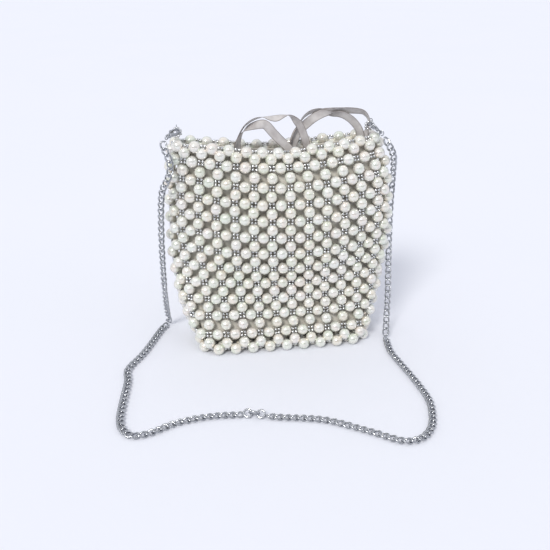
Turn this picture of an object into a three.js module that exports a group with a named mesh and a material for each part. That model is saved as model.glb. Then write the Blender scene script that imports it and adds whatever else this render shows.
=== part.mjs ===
// Evening bag of woven beads, with a satin lining, ribbon pulls and a clip-on chain strap.
// Millimetres, +Z up, X across the bag, -Y towards the front. The origin is on the ground under the bag.
import * as THREE from 'three';

// ---- driving dimensions ----
const PITCH = 17;
const BEAD_DIAMETER = 10;
const COLUMNS_WIDE = 9;
const COLUMNS_DEEP = 4;
const ROWS = 12;
const COLUMNS_HALF = COLUMNS_WIDE + COLUMNS_DEEP;
const SEAM_COLUMNS = 0.012;
const BASE_Z = BEAD_DIAMETER / 2;

// ---- cross sections of the net, one value per second row, base to rim ----
const KEY_ROWS = 2;
const HALF_WIDTH = [80.5, 93.5, 100.5, 104, 104, 101.5, 95.5];
const FRONT_DEPTH = [35, 24, 22, 29, 30, 26, 14];
const BACK_DEPTH = [35, 26, 28, 33, 33, 28, 20];
const ROUNDNESS = [8, 4, 2.3, 1.75, 1.75, 1.9, 2.6];
const CENTRE_SHIFT = [1.5, 1, 0, 0, 0, -0.5, -3];
const HEIGHT = [BASE_Z, 36, 69, 102.5, 136, 169, 200];
// Degrees that each section is turned about Z, right side forward when negative.
const SECTION_TURN = [0, -0.5, -2, -5, -6.5, -5, 0];
const FRONT_DIP = 0.045;
const BACK_DIP = 0.045;

// ---- lining, casing and ribbons ----
const LINING_GAP = 0.6;
const FOOT_GAP = 1.7;
const LINING_THICKNESS = 1.2;
const CASING_THICKNESS = 1.4;
const LINING_RISE = 1;
const CASING_ROWS = [10.9, 11.6];
const CASING_RISE = 2;
const RIBBON_WIDTH = 7.5;
const RIBBON_THICKNESS = 0.6;

// ---- strap ----
const CHAIN_DIAMETER = 5;
const CHAIN_FLOOR_Z = CHAIN_DIAMETER / 2 + 0.2;
const LOOP_Z = 210.6;
const LOOP_RADIUS = 3.6;
const LOOP_BEAD_RADIUS = 1.4;
const STRAP_AXIS_Z = LOOP_Z + LOOP_RADIUS;
const RING_RADIUS = 3.5;
const RING_WIRE = 0.45;
const RING_OFFSET = 1.2;
const CLASP_SCALE = 1.25;
const CLASP_LENGTH = 8.75 * CLASP_SCALE;
const TAIL_RING_RADIUS = 2.2;
const TAIL_RING_WIRE = 0.5;
// Each corner: place along X, turn of the ring about its hanging line, turn of the clasp on the ring.
const CORNERS = [
  { side: 'left', x: -94, ringTurn: 0, claspTurn: -45 },
  { side: 'right', x: 85, ringTurn: -30, claspTurn: 50 },
];
const HANG = new THREE.Vector3(0, -0.94, -0.34).normalize();

// ---- colours ----
const PEARL = { color: 0xe9e3d5, roughness: 0.28, metalness: 0.1 };
const SATIN = { color: 0xb3a9a3, roughness: 0.45, metalness: 0.0 };
const RIBBON = { color: 0xa39c99, roughness: 0.4, metalness: 0.0 };
const SILVER = { color: 0xb9bcc0, roughness: 0.25, metalness: 1.0 };
const SILVER_BEAD = { color: 0xa9adb2, roughness: 0.3, metalness: 0.9 };

const bag = new THREE.Group();
bag.name = 'evening_bag';

function addPiece(name, geometry, finish) {
  const plain = geometry.clone();
  plain.deleteAttribute('uv');
  const mesh = new THREE.Mesh(plain, new THREE.MeshStandardMaterial(finish));
  mesh.name = name;
  bag.add(mesh);
  return mesh;
}

// Smooth value between the key rows of a profile.
function profileAt(values, row) {
  const place = THREE.MathUtils.clamp(row / KEY_ROWS, 0, values.length - 1);
  const index = Math.min(Math.floor(place), values.length - 2);
  const t = place - index;
  const before = values[Math.max(index - 1, 0)];
  const low = values[index];
  const high = values[index + 1];
  const after = values[Math.min(index + 2, values.length - 1)];
  const slopeLow = (high - before) / 2;
  const slopeHigh = (after - low) / 2;
  const t2 = t * t;
  const t3 = t2 * t;
  return low * (2 * t3 - 3 * t2 + 1) + slopeLow * (t3 - 2 * t2 + t)
    + high * (3 * t2 - 2 * t3) + slopeHigh * (t3 - t2);
}

// Outline of one half of a section, from the left end to the right end, with running length.
const SECTION_STEPS = 240;
function halfSection(row, front) {
  const width = profileAt(HALF_WIDTH, row);
  const depth = profileAt(front ? FRONT_DEPTH : BACK_DEPTH, row);
  const power = 2 / profileAt(ROUNDNESS, row);
  const sign = front ? -1 : 1;
  const points = [];
  const lengths = [0];
  for (let i = 0; i <= SECTION_STEPS; i += 1) {
    const angle = Math.PI * (1 - i / SECTION_STEPS);
    const c = Math.cos(angle);
    const s = Math.max(Math.sin(angle), 0);
    const x = Math.sign(c) * width * Math.abs(c) ** power;
    points.push([x, sign * depth * s ** power]);
    if (i > 0) {
      const step = Math.hypot(x - points[i - 1][0], points[i][1] - points[i - 1][1]);
      lengths.push(lengths[i - 1] + step);
    }
  }
  return { points, lengths };
}

const UP = new THREE.Vector3(0, 0, 1);
const sectionCache = new Map();
function sectionFor(row, front) {
  const key = `${row.toFixed(4)}${front}`;
  if (!sectionCache.has(key)) sectionCache.set(key, halfSection(row, front));
  return sectionCache.get(key);
}

// Middle surface of the net. Column 0 is the front left corner, 9 the front right one.
function wallPoint(column, row) {
  const around = ((column + COLUMNS_DEEP / 2) % (2 * COLUMNS_HALF) + 2 * COLUMNS_HALF) % (2 * COLUMNS_HALF);
  const front = around <= COLUMNS_HALF;
  const share = front ? around / COLUMNS_HALF : 2 - around / COLUMNS_HALF;
  const { points, lengths } = sectionFor(row, front);
  const target = share * lengths[SECTION_STEPS];
  let i = 1;
  while (i < SECTION_STEPS && lengths[i] < target) i += 1;
  const t = (target - lengths[i - 1]) / Math.max(lengths[i] - lengths[i - 1], 1e-9);
  const x = THREE.MathUtils.lerp(points[i - 1][0], points[i][0], t);
  const y = THREE.MathUtils.lerp(points[i - 1][1], points[i][1], t);
  const dip = (front ? FRONT_DIP : BACK_DIP) * Math.sin(Math.PI * share) ** 2;
  const z = BASE_Z + (profileAt(HEIGHT, row) - BASE_Z) * (1 - dip);
  const turn = THREE.MathUtils.degToRad(profileAt(SECTION_TURN, row));
  return new THREE.Vector3(x + profileAt(CENTRE_SHIFT, row), y, z).applyAxisAngle(UP, turn);
}

// Outward direction of the net, level with the ground.
function wallOutward(column, row) {
  const along = wallPoint(column + 0.25, row).sub(wallPoint(column - 0.25, row));
  return new THREE.Vector3(along.y, -along.x, 0).normalize();
}

function wallOffset(column, row, distance, lift = 0) {
  const point = wallPoint(column, row).addScaledVector(wallOutward(column, row), distance);
  point.z += lift;
  return point;
}

// Closed body from rings of points: each ring has the same number of points.
// Rings are joined side by side, and the ring list closes on itself.
function bodyFromLoops(loops, closeRings) {
  const count = loops[0].length;
  const positions = [];
  loops.forEach((loop) => loop.forEach((p) => positions.push(p.x, p.y, p.z)));
  const index = [];
  const ringTotal = closeRings ? loops.length : loops.length - 1;
  for (let r = 0; r < ringTotal; r += 1) {
    const next = (r + 1) % loops.length;
    for (let i = 0; i < count; i += 1) {
      const j = (i + 1) % count;
      const a = r * count + i;
      const b = r * count + j;
      const c = next * count + j;
      const d = next * count + i;
      index.push(a, b, c, a, c, d);
    }
  }
  if (!closeRings) {
    capLoop(index, 0, count, true);
    capLoop(index, (loops.length - 1) * count, count, false);
  }
  const geometry = new THREE.BufferGeometry();
  geometry.setAttribute('position', new THREE.Float32BufferAttribute(positions, 3));
  geometry.setIndex(index);
  geometry.computeVertexNormals();
  return outwardGeometry(geometry);
}

// Closes the end of a thin section, whose two sides run one after the other around the loop.
function capLoop(index, start, count, flip) {
  for (let i = 0; i < count / 2 - 1; i += 1) {
    const a = start + i;
    const b = start + i + 1;
    const c = start + count - 2 - i;
    const d = start + count - 1 - i;
    if (flip) index.push(a, c, b, a, d, c);
    else index.push(a, b, c, a, c, d);
  }
}

// Turns the faces outward if the enclosed volume comes out negative.
function outwardGeometry(geometry) {
  const p = geometry.attributes.position;
  const index = geometry.index.array;
  const a = new THREE.Vector3();
  const b = new THREE.Vector3();
  const c = new THREE.Vector3();
  let volume = 0;
  for (let i = 0; i < index.length; i += 3) {
    a.fromBufferAttribute(p, index[i]);
    b.fromBufferAttribute(p, index[i + 1]);
    c.fromBufferAttribute(p, index[i + 2]);
    volume += a.dot(b.cross(c));
  }
  if (volume < 0) {
    for (let i = 0; i < index.length; i += 3) {
      [index[i + 1], index[i + 2]] = [index[i + 2], index[i + 1]];
    }
    geometry.computeVertexNormals();
  }
  return geometry;
}

// ---- woven net: four walls and a base, each a plain shell as thick as the beads ----
function netWall(name, fromColumn, toColumn) {
  const steps = toColumn - fromColumn;
  const half = BEAD_DIAMETER / 2;
  const loops = [];
  for (let i = 0; i <= steps; i += 1) {
    const seam = i === 0 ? SEAM_COLUMNS : i === steps ? -SEAM_COLUMNS : 0;
    const column = fromColumn + i + seam;
    const outer = [wallOffset(column, 0, half, -BASE_Z)];
    const inner = [wallOffset(column, 0, -half, -BASE_Z)];
    for (let row = 1; row <= ROWS; row += 1) {
      outer.push(wallOffset(column, row, half));
      inner.push(wallOffset(column, row, -half));
    }
    outer.push(wallOffset(column, ROWS, half, half));
    inner.push(wallOffset(column, ROWS, -half, half));
    loops.push([...inner, ...outer.reverse()]);
  }
  addPiece(name, bodyFromLoops(loops, false), PEARL);
}

// Point of a wall's straight foot, between the ground and the first row.
function footPoint(column, z, distance) {
  const foot = wallOffset(column, 0, distance, -BASE_Z);
  const knee = wallOffset(column, 1, distance);
  return foot.lerp(knee, z / knee.z);
}

function netBase() {
  const inset = -(BEAD_DIAMETER / 2 + FOOT_GAP);
  const low = [];
  const high = [];
  for (let column = 0; column < 2 * COLUMNS_HALF; column += 1) {
    low.push(footPoint(column, 0, inset));
    high.push(footPoint(column, BEAD_DIAMETER, inset));
  }
  const centre = (z) => new THREE.Vector3(0, 0, z);
  addPiece('net_base', fanBody([low, high], centre(0), centre(BEAD_DIAMETER)), PEARL);
}

// Body of rings closed by a centre point at each end.
function fanBody(loops, first, last) {
  const count = loops[0].length;
  const positions = [];
  loops.forEach((loop) => loop.forEach((p) => positions.push(p.x, p.y, p.z)));
  const firstIndex = loops.length * count;
  positions.push(first.x, first.y, first.z, last.x, last.y, last.z);
  const index = [];
  for (let i = 0; i < count; i += 1) {
    const j = (i + 1) % count;
    for (let r = 0; r < loops.length - 1; r += 1) {
      const a = r * count + i;
      const b = r * count + j;
      index.push(a, b, b + count, a, b + count, a + count);
    }
    const end = (loops.length - 1) * count;
    index.push(firstIndex, j, i);
    index.push(firstIndex + 1, end + i, end + j);
  }
  const geometry = new THREE.BufferGeometry();
  geometry.setAttribute('position', new THREE.Float32BufferAttribute(positions, 3));
  geometry.setIndex(index);
  geometry.computeVertexNormals();
  return outwardGeometry(geometry);
}

// ---- satin lining: an open pouch just inside the net ----
function wallRing(row, distance, lift = 0) {
  const ring = [];
  for (let column = 0; column < 2 * COLUMNS_HALF; column += 1) {
    ring.push(wallOffset(column, row, distance, lift));
  }
  return ring;
}

function footRing(z, distance) {
  const ring = [];
  for (let column = 0; column < 2 * COLUMNS_HALF; column += 1) ring.push(footPoint(column, z, distance));
  return ring;
}

function liningPouch() {
  const outside = -(BEAD_DIAMETER / 2 + LINING_GAP);
  const inside = outside - LINING_THICKNESS;
  const floor = BEAD_DIAMETER + LINING_GAP;
  const rows = [1, 2, 3, 4, 5, 6, 7, 8, 9, 10, ...CASING_ROWS];
  const topRow = CASING_ROWS[1];
  const loops = [footRing(floor, outside - FOOT_GAP)];
  rows.forEach((row) => loops.push(wallRing(row, outside)));
  loops.push(wallRing(topRow, outside, LINING_RISE));
  loops.push(wallRing(topRow, inside, LINING_RISE));
  [...rows].reverse().forEach((row) => loops.push(wallRing(row, inside)));
  loops.push(footRing(floor + LINING_THICKNESS, inside - FOOT_GAP));
  const low = new THREE.Vector3(0, 0, floor);
  const high = new THREE.Vector3(0, 0, floor + LINING_THICKNESS);
  addPiece('lining_pouch', fanBody(loops, low, high), SATIN);
}

// Channel at the mouth that the ribbons run in.
function drawstringCasing() {
  const outside = -(BEAD_DIAMETER / 2 + 2 * LINING_GAP + LINING_THICKNESS);
  const inside = outside - CASING_THICKNESS;
  const [bottom, top] = CASING_ROWS;
  const loops = [
    wallRing(top, outside, CASING_RISE),
    wallRing(top, outside),
    wallRing(bottom, outside),
    wallRing(bottom, inside),
    wallRing(top, inside),
    wallRing(top, inside, CASING_RISE),
  ];
  addPiece('drawstring_casing', bodyFromLoops(loops, true), SATIN);
}

// ---- flat ribbon along a curve; the faces turn with the listed face angle ----
const RIBBON_STEPS = 18;
function ribbonPiece(name, route, turnStart, turnEnd) {
  const curve = new THREE.CatmullRomCurve3(route.map((p) => new THREE.Vector3(...p)));
  const loops = [];
  for (let i = 0; i <= RIBBON_STEPS; i += 1) {
    const t = i / RIBBON_STEPS;
    const point = curve.getPointAt(t);
    const tangent = curve.getTangentAt(t);
    const across = new THREE.Vector3(0, 1, 0).addScaledVector(tangent, -tangent.y).normalize();
    const turn = THREE.MathUtils.degToRad(THREE.MathUtils.lerp(turnStart, turnEnd, t));
    across.applyAxisAngle(tangent, turn);
    const thick = new THREE.Vector3().crossVectors(tangent, across).normalize();
    const w = across.multiplyScalar(RIBBON_WIDTH / 2);
    const h = thick.multiplyScalar(RIBBON_THICKNESS / 2);
    loops.push([
      point.clone().add(w).add(h),
      point.clone().sub(w).add(h),
      point.clone().sub(w).sub(h),
      point.clone().add(w).sub(h),
    ]);
  }
  addPiece(name, bodyFromLoops(loops, false), RIBBON);
}

function ribbonPulls() {
  ribbonPiece('ribbon_left_outer', [
    [-41, 2, 178], [-40, 2, 195], [-34, 2, 212], [-24, 1, 222], [-10, 0, 225],
    [5, -0.5, 225], [16, -1.2, 217], [22, -1.4, 202], [25, -1.4, 180],
  ], 0, 0);
  ribbonPiece('ribbon_left_inner', [
    [-36.5, 2, 178], [-35.5, 2, 195], [-30, 1.6, 209], [-22, 0.8, 217.5], [-14, 0, 215],
    [-6, 0, 206], [0, 0, 194], [3, 0, 178],
  ], 0, 0);
  ribbonPiece('ribbon_right_outer', [
    [9, 6.6, 178], [13, 6.6, 199], [24, 6.4, 213], [38, 6, 223], [52, 4.5, 226],
    [63, 3.2, 222], [67.5, 2.6, 211], [68, 2, 197], [65, 2, 182],
  ], 0, 0);
  ribbonPiece('ribbon_right_inner', [
    [32, 6.2, 178], [34, 6.2, 200], [41, 6, 212.5], [49, 4.8, 219],
    [57, 3.5, 216], [62.5, 2.5, 206], [63, 1.5, 194], [61, 1, 182],
  ], 0, 0);
}

// ---- bead loops and rings at the mouth corners ----
function torusPiece(name, radius, wire, centre, normal, finish, sides = 8, steps = 18) {
  const geometry = new THREE.TorusGeometry(radius, wire, sides, steps);
  const turn = new THREE.Quaternion().setFromUnitVectors(new THREE.Vector3(0, 0, 1), normal);
  geometry.applyQuaternion(turn);
  geometry.translate(centre.x, centre.y, centre.z);
  addPiece(name, geometry, finish);
}

// Directions at a corner: the ring's tangent at its far point, its normal and the clasp's way down.
function cornerFrame(corner) {
  const tangent = new THREE.Vector3(0, -HANG.z, HANG.y);
  const normal = new THREE.Vector3(1, 0, 0);
  const turn = THREE.MathUtils.degToRad(corner.ringTurn);
  tangent.applyAxisAngle(HANG, turn);
  normal.applyAxisAngle(HANG, turn);
  const angle = THREE.MathUtils.degToRad(corner.claspTurn);
  const way = HANG.clone().multiplyScalar(Math.cos(angle)).addScaledVector(normal, Math.sin(angle));
  return { tangent, normal, way };
}

function cornerFittings(corner) {
  const yAxis = new THREE.Vector3(0, 1, 0);
  const loopCentre = new THREE.Vector3(corner.x, 0, LOOP_Z);
  torusPiece(`bead_loop_${corner.side}`, LOOP_RADIUS, LOOP_BEAD_RADIUS, loopCentre, yAxis, SILVER_BEAD);
  const ringCentre = new THREE.Vector3(corner.x, 0, STRAP_AXIS_Z).addScaledVector(HANG, RING_OFFSET);
  const { normal } = cornerFrame(corner);
  torusPiece(`corner_ring_${corner.side}`, RING_RADIUS, RING_WIRE, ringCentre, normal, SILVER);
}

// ---- lobster clasps: the ring wire passes through the local origin, the tail is along -Y ----
const HOOK_CENTRE = [0.2, 1.2];
const HOOK_ORIGIN = [0.2, 2.15];
function claspOutline() {
  const [cx, cy] = HOOK_CENTRE;
  const shape = new THREE.Shape();
  shape.moveTo(3.4, cy);
  shape.absarc(cx, cy, 3.2, 0, Math.PI, false);
  shape.lineTo(-3.0, -3.0);
  shape.lineTo(-2.2, -6.8);
  shape.absarc(0, -7.0, 2.1, Math.PI, 2 * Math.PI, false);
  shape.lineTo(3.4, -4.4);
  shape.lineTo(3.4, -3.3);
  shape.lineTo(1.9, -3.3);
  shape.lineTo(0.2, -4.2);
  shape.lineTo(-1.5, -3.0);
  shape.lineTo(-1.5, cy);
  shape.absarc(cx, cy, 1.7, Math.PI, 0, true);
  shape.closePath();
  const eye = new THREE.Path();
  eye.absarc(0, -6.6, 1.1, 0, 2 * Math.PI, true);
  shape.holes.push(eye);
  return shape;
}

function leverOutline() {
  const shape = new THREE.Shape();
  shape.moveTo(1.95, -2.9);
  shape.lineTo(3.35, -2.9);
  shape.lineTo(3.35, -1.7);
  shape.lineTo(4.3, -1.3);
  shape.lineTo(4.3, -0.6);
  shape.lineTo(3.35, -0.4);
  shape.lineTo(3.35, 0.85);
  shape.lineTo(1.95, 0.85);
  shape.closePath();
  return shape;
}

function claspFrame(way, across) {
  const y = way.clone().negate();
  const z = across.clone().addScaledVector(y, -across.dot(y)).normalize();
  const x = new THREE.Vector3().crossVectors(y, z);
  return new THREE.Matrix4().makeBasis(x, y, z);
}

function claspPart(name, outline, depth, hook, frame) {
  const geometry = new THREE.ExtrudeGeometry(outline, { depth, bevelEnabled: false, curveSegments: 8 });
  geometry.translate(-HOOK_ORIGIN[0], -HOOK_ORIGIN[1], -depth / 2);
  geometry.scale(CLASP_SCALE, CLASP_SCALE, CLASP_SCALE);
  geometry.applyMatrix4(frame);
  geometry.translate(hook.x, hook.y, hook.z);
  addPiece(name, geometry, SILVER);
}

function clasp(corner) {
  const { tangent, way } = cornerFrame(corner);
  const hook = new THREE.Vector3(corner.x, 0, STRAP_AXIS_Z).addScaledVector(HANG, RING_OFFSET + RING_RADIUS);
  const frame = claspFrame(way, tangent);
  claspPart(`clasp_body_${corner.side}`, claspOutline(), 2.2, hook, frame);
  claspPart(`clasp_lever_${corner.side}`, leverOutline(), 1.7, hook, frame);
  const ringCentre = hook.clone().addScaledVector(way, CLASP_LENGTH + TAIL_RING_RADIUS);
  const ringNormal = new THREE.Vector3().setFromMatrixColumn(frame, 0);
  torusPiece(`tail_ring_${corner.side}`, TAIL_RING_RADIUS, TAIL_RING_WIRE, ringCentre, ringNormal, SILVER);
}

// ---- chain: each stretch is a plain cord along its own route ----
const LEFT_DROP = [
  [-107, -15.5, 205.5], [-107.2, -16.5, 202], [-104, -16.5, 194], [-101.5, -16, 184], [-104.5, -15, 172],
  [-111, -8, 155],
  [-113.5, 0, 108], [-113.5, 10, 60], [-112.5, 22, 30], [-110.5, 38, 3.4],
];
const RIGHT_DROP = [
  [97, -12, 200.5], [100.5, -13, 194.5], [107, -10, 183], [110.2, -2, 163],
  [112, 5, 130], [112, 2, 84], [110, -10, 40], [104, -29, 3.4],
];
const LEFT_FLOOR = [
  [-112.5, 34], [-119, 23], [-136, -21], [-152, -53], [-152, -72], [-155, -100], [-158, -130], [-157, -147],
  [-151, -158], [-145, -161], [-132, -158], [-112, -148], [-84, -143], [-60, -144.4],
];
const RIGHT_FLOOR = [
  [-34.4, -150.8], [-26, -154], [-7, -158.5], [12, -165], [30, -177], [46, -189], [61, -201], [70, -204.5],
  [82, -201.5], [93, -190], [101, -171], [106, -148], [105, -117], [102, -87], [99.5, -60], [103, -33.5],
];
const JOINER_PLACE = new THREE.Vector3(-46.9, -147, 0);
const JOINER_WAY = new THREE.Vector3(0.965, -0.262, 0).normalize();
const JOINER_SPACING = 5.6;

function cordPiece(name, route, steps) {
  const path = new THREE.CatmullRomCurve3(route.map((p) => new THREE.Vector3(...p)));
  const shape = new THREE.Shape();
  shape.absarc(0, 0, CHAIN_DIAMETER / 2, 0, 2 * Math.PI, false);
  const options = { steps, extrudePath: path, curveSegments: 4, bevelEnabled: false };
  addPiece(name, new THREE.ExtrudeGeometry(shape, options), SILVER);
}

function strapChain() {
  const onFloor = (p) => [p[0], p[1], CHAIN_FLOOR_Z];
  cordPiece('chain_drop_left', LEFT_DROP, 20);
  cordPiece('chain_drop_right', RIGHT_DROP, 20);
  cordPiece('chain_floor_left', LEFT_FLOOR.map(onFloor), 32);
  cordPiece('chain_floor_right', RIGHT_FLOOR.map(onFloor), 32);
}

// Three rings link the two lengths of chain.
function joinerRings() {
  const ring = (name, offset, radius, lean) => {
    const wire = 0.7;
    const centre = JOINER_PLACE.clone().addScaledVector(JOINER_WAY, offset);
    centre.z = radius * Math.SQRT1_2 + wire + 0.1;
    const normal = new THREE.Vector3(0, 0, 1).applyAxisAngle(JOINER_WAY, lean * Math.PI / 4);
    torusPiece(name, radius, wire, centre, normal, SILVER);
  };
  ring('joiner_ring_left', -JOINER_SPACING, 3.3, 1);
  ring('joiner_ring_middle', 0, 4.2, -1);
  ring('joiner_ring_right', JOINER_SPACING, 3.3, 1);
}

netWall('net_front', 0, COLUMNS_WIDE);
netWall('net_right_side', COLUMNS_WIDE, COLUMNS_HALF);
netWall('net_back', COLUMNS_HALF, COLUMNS_HALF + COLUMNS_WIDE);
netWall('net_left_side', COLUMNS_HALF + COLUMNS_WIDE, 2 * COLUMNS_HALF);
netBase();
liningPouch();
drawstringCasing();
ribbonPulls();
CORNERS.forEach((corner) => cornerFittings(corner));
CORNERS.forEach((corner) => clasp(corner));
strapChain();
joinerRings();

export default bag;
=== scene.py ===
"""Evening bag woven from pearl beads, with a satin lining, ribbon pulls and a curb chain strap.

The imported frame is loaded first, and every piece here rides on one of its bodies.
Sizes in the dataclasses are millimetres; MM turns them into metres as the meshes are made.
"""

import functools
import logging
import math
import random
from dataclasses import dataclass, field
from enum import Enum
from typing import Any, Callable, Iterable, Sequence

import bmesh
import bpy
import numpy as np
from mathutils import Matrix, Vector, noise


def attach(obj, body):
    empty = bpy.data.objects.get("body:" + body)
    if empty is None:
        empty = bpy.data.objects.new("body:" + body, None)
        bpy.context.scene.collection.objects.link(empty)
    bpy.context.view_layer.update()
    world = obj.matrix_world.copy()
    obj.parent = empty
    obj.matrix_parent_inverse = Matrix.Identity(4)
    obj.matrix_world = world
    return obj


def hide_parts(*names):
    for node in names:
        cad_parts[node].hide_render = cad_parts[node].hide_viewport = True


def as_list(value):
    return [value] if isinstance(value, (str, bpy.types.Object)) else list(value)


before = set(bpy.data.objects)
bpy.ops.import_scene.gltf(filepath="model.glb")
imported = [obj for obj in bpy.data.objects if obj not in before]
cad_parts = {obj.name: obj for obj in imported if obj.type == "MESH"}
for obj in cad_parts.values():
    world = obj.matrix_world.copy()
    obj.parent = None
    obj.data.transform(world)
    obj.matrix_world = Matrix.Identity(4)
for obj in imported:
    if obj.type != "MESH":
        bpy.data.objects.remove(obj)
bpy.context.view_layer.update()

MM = 0.001
LOG = logging.getLogger("evening_bag")

Point = Sequence[float]
Colour = tuple[float, float, float, float]


# ---------------------------------------------------------------- helpers: colour, nodes, meshes

def linear(code: str) -> Colour:
    """Turns an sRGB hex colour into the linear colour that the shaders work in.

    Args:
        code: Six hex digits, with or without a leading hash.

    Returns:
        Red, green, blue and an alpha of 1.
    """
    digits = code.lstrip("#")
    channels = [int(digits[i:i + 2], 16) / 255 for i in (0, 2, 4)]
    curved = [c / 12.92 if c <= 0.04045 else ((c + 0.055) / 1.055) ** 2.4 for c in channels]
    return (curved[0], curved[1], curved[2], 1.0)


def add_node(tree: bpy.types.NodeTree, kind: str, inputs: dict[Any, Any] | None = None,
             **settings: Any) -> bpy.types.Node:
    """Adds a node, sets it up and links or fills its inputs.

    Args:
        tree: Node tree that the node goes into.
        kind: Node type, such as "ShaderNodeTexNoise".
        inputs: Input name or number to a value, or to the output socket that feeds it.
        **settings: Attributes of the node itself.

    Returns:
        The new node.
    """
    node = tree.nodes.new(kind)
    for name, value in settings.items():
        setattr(node, name, value)
    for name, value in (inputs or {}).items():
        if isinstance(value, bpy.types.NodeSocket):
            tree.links.new(value, node.inputs[name])
        else:
            node.inputs[name].default_value = value
    return node


def set_stops(ramp: bpy.types.ColorRamp, stops: Sequence[tuple[float, Colour]]) -> None:
    """Gives a colour ramp its stops.

    Args:
        ramp: The ramp of a Color Ramp node.
        stops: Place from 0 to 1 and colour of each stop, in order.
    """
    while len(ramp.elements) < len(stops):
        ramp.elements.new(0.5)
    for element, (place, colour) in zip(ramp.elements, stops):
        element.position = place
        element.color = colour


def smooth(mesh: bpy.types.Mesh) -> bpy.types.Mesh:
    """Shades every face of a mesh smooth."""
    mesh.polygons.foreach_set("use_smooth", [True] * len(mesh.polygons))
    return mesh


def to_mesh(bm: bmesh.types.BMesh, name: str) -> bpy.types.Mesh:
    """Writes a bmesh out as a smooth mesh and frees it."""
    mesh = bpy.data.meshes.new(name)
    bm.to_mesh(mesh)
    bm.free()
    return smooth(mesh)


def new_object(name: str, data: Any) -> bpy.types.Object:
    """Puts mesh or curve data into the scene as an object at the origin."""
    made = bpy.data.objects.new(name, data)
    bpy.context.scene.collection.objects.link(made)
    return made


def baked(thing: bpy.types.Object) -> bpy.types.Object:
    """Replaces an object by a mesh object of the same name with its modifiers or bevel applied.

    Args:
        thing: Mesh with modifiers, or curve with a bevel.

    Returns:
        The new mesh object.
    """
    graph = bpy.context.evaluated_depsgraph_get()
    graph.update()
    mesh = bpy.data.meshes.new_from_object(thing.evaluated_get(graph))
    name = thing.name
    bpy.data.objects.remove(thing)
    mesh.name = name
    return new_object(name, smooth(mesh))


def lathe(profile: Sequence[tuple[float, float]], steps: int, name: str) -> bpy.types.Mesh:
    """Turns a closed outline about the Z axis.

    Args:
        profile: Radius and height of each corner, in millimetres.
        steps: Faces around.
        name: Name of the mesh.

    Returns:
        The turned mesh, in metres.
    """
    bm = bmesh.new()
    corners = [bm.verts.new((r * MM, 0, z * MM)) for r, z in profile]
    sides = [bm.edges.new((a, b)) for a, b in zip(corners, corners[1:] + corners[:1])]
    bmesh.ops.spin(bm, geom=corners + sides, cent=(0, 0, 0), axis=(0, 0, 1), dvec=(0, 0, 0),
                   angle=2 * math.pi, steps=steps, use_merge=True)
    bmesh.ops.remove_doubles(bm, verts=bm.verts, dist=0.01 * MM)
    bmesh.ops.recalc_face_normals(bm, faces=bm.faces)
    return to_mesh(bm, name)


def turned(x: Vector, y: Vector, z: Vector, centre: Vector) -> Matrix:
    """Placement whose local axes are x, y and z, at a centre."""
    rows = Matrix((x, y, z)).transposed().to_4x4()
    return Matrix.Translation(centre) @ rows


def facing(axis: Vector, centre: Vector, roll: float = 0.0) -> Matrix:
    """Placement that turns local Z to an axis.

    Args:
        axis: Direction of local Z.
        centre: Place of the local origin.
        roll: Turn about the axis, in radians.

    Returns:
        The placement.
    """
    turn = axis.to_track_quat("Z", "Y").to_matrix().to_4x4()
    return Matrix.Translation(centre) @ turn @ Matrix.Rotation(roll, 4, "Z")


@dataclass(frozen=True)
class Place:
    """Where one bead or link of a repeated shape goes, and its own shade from 0 to 1."""

    matrix: Matrix
    tone: float


def strewn(name: str, shape: bpy.types.Mesh, places: Iterable[Place]) -> bpy.types.Object:
    """Joins many placed copies of one shape into one piece.

    Args:
        name: Name of the piece.
        shape: Mesh that is repeated.
        places: Placement and tone of each copy. The tone is kept as a point attribute.

    Returns:
        The joined object.
    """
    bm = bmesh.new()
    for place in places:
        copy = shape.copy()
        copy.transform(place.matrix)
        tone = copy.attributes.new("tone", "FLOAT", "POINT")
        tone.data.foreach_set("value", [place.tone] * len(copy.vertices))
        bm.from_mesh(copy)
        bpy.data.meshes.remove(copy)
    return new_object(name, to_mesh(bm, name))


def smooth_route(points: Sequence[Point], count: int) -> np.ndarray:
    """Evenly spaced points along a smooth curve through a route.

    Args:
        points: Points that the curve goes through. Values after the third come along.
        count: Number of points wanted.

    Returns:
        An array of count rows.
    """
    fixed = np.array(points, float)
    padded = np.vstack([2 * fixed[0] - fixed[1], fixed, 2 * fixed[-1] - fixed[-2]])
    fine = []
    for i in range(len(fixed) - 1):
        a, b, c, d = padded[i:i + 4]
        t = np.linspace(0, 1, 24, endpoint=False)[:, None]
        fine.append(0.5 * (2 * b + (c - a) * t + (2 * a - 5 * b + 4 * c - d) * t ** 2
                           + (3 * b - a - 3 * c + d) * t ** 3))
    line = np.vstack([*fine, fixed[-1:]])
    steps = np.linalg.norm(np.diff(line[:, :3], axis=0), axis=1)
    run = np.concatenate([[0], np.cumsum(steps)])
    at = np.linspace(0, run[-1], count)
    return np.stack([np.interp(at, run, line[:, k]) for k in range(line.shape[1])], axis=1)


def route_length(points: Sequence[Point]) -> float:
    """Length of the smooth curve through a route, in the route's own unit."""
    line = smooth_route(points, 400)
    return float(np.linalg.norm(np.diff(line, axis=0), axis=1).sum())


# ---------------------------------------------------------------- finishes

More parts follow.
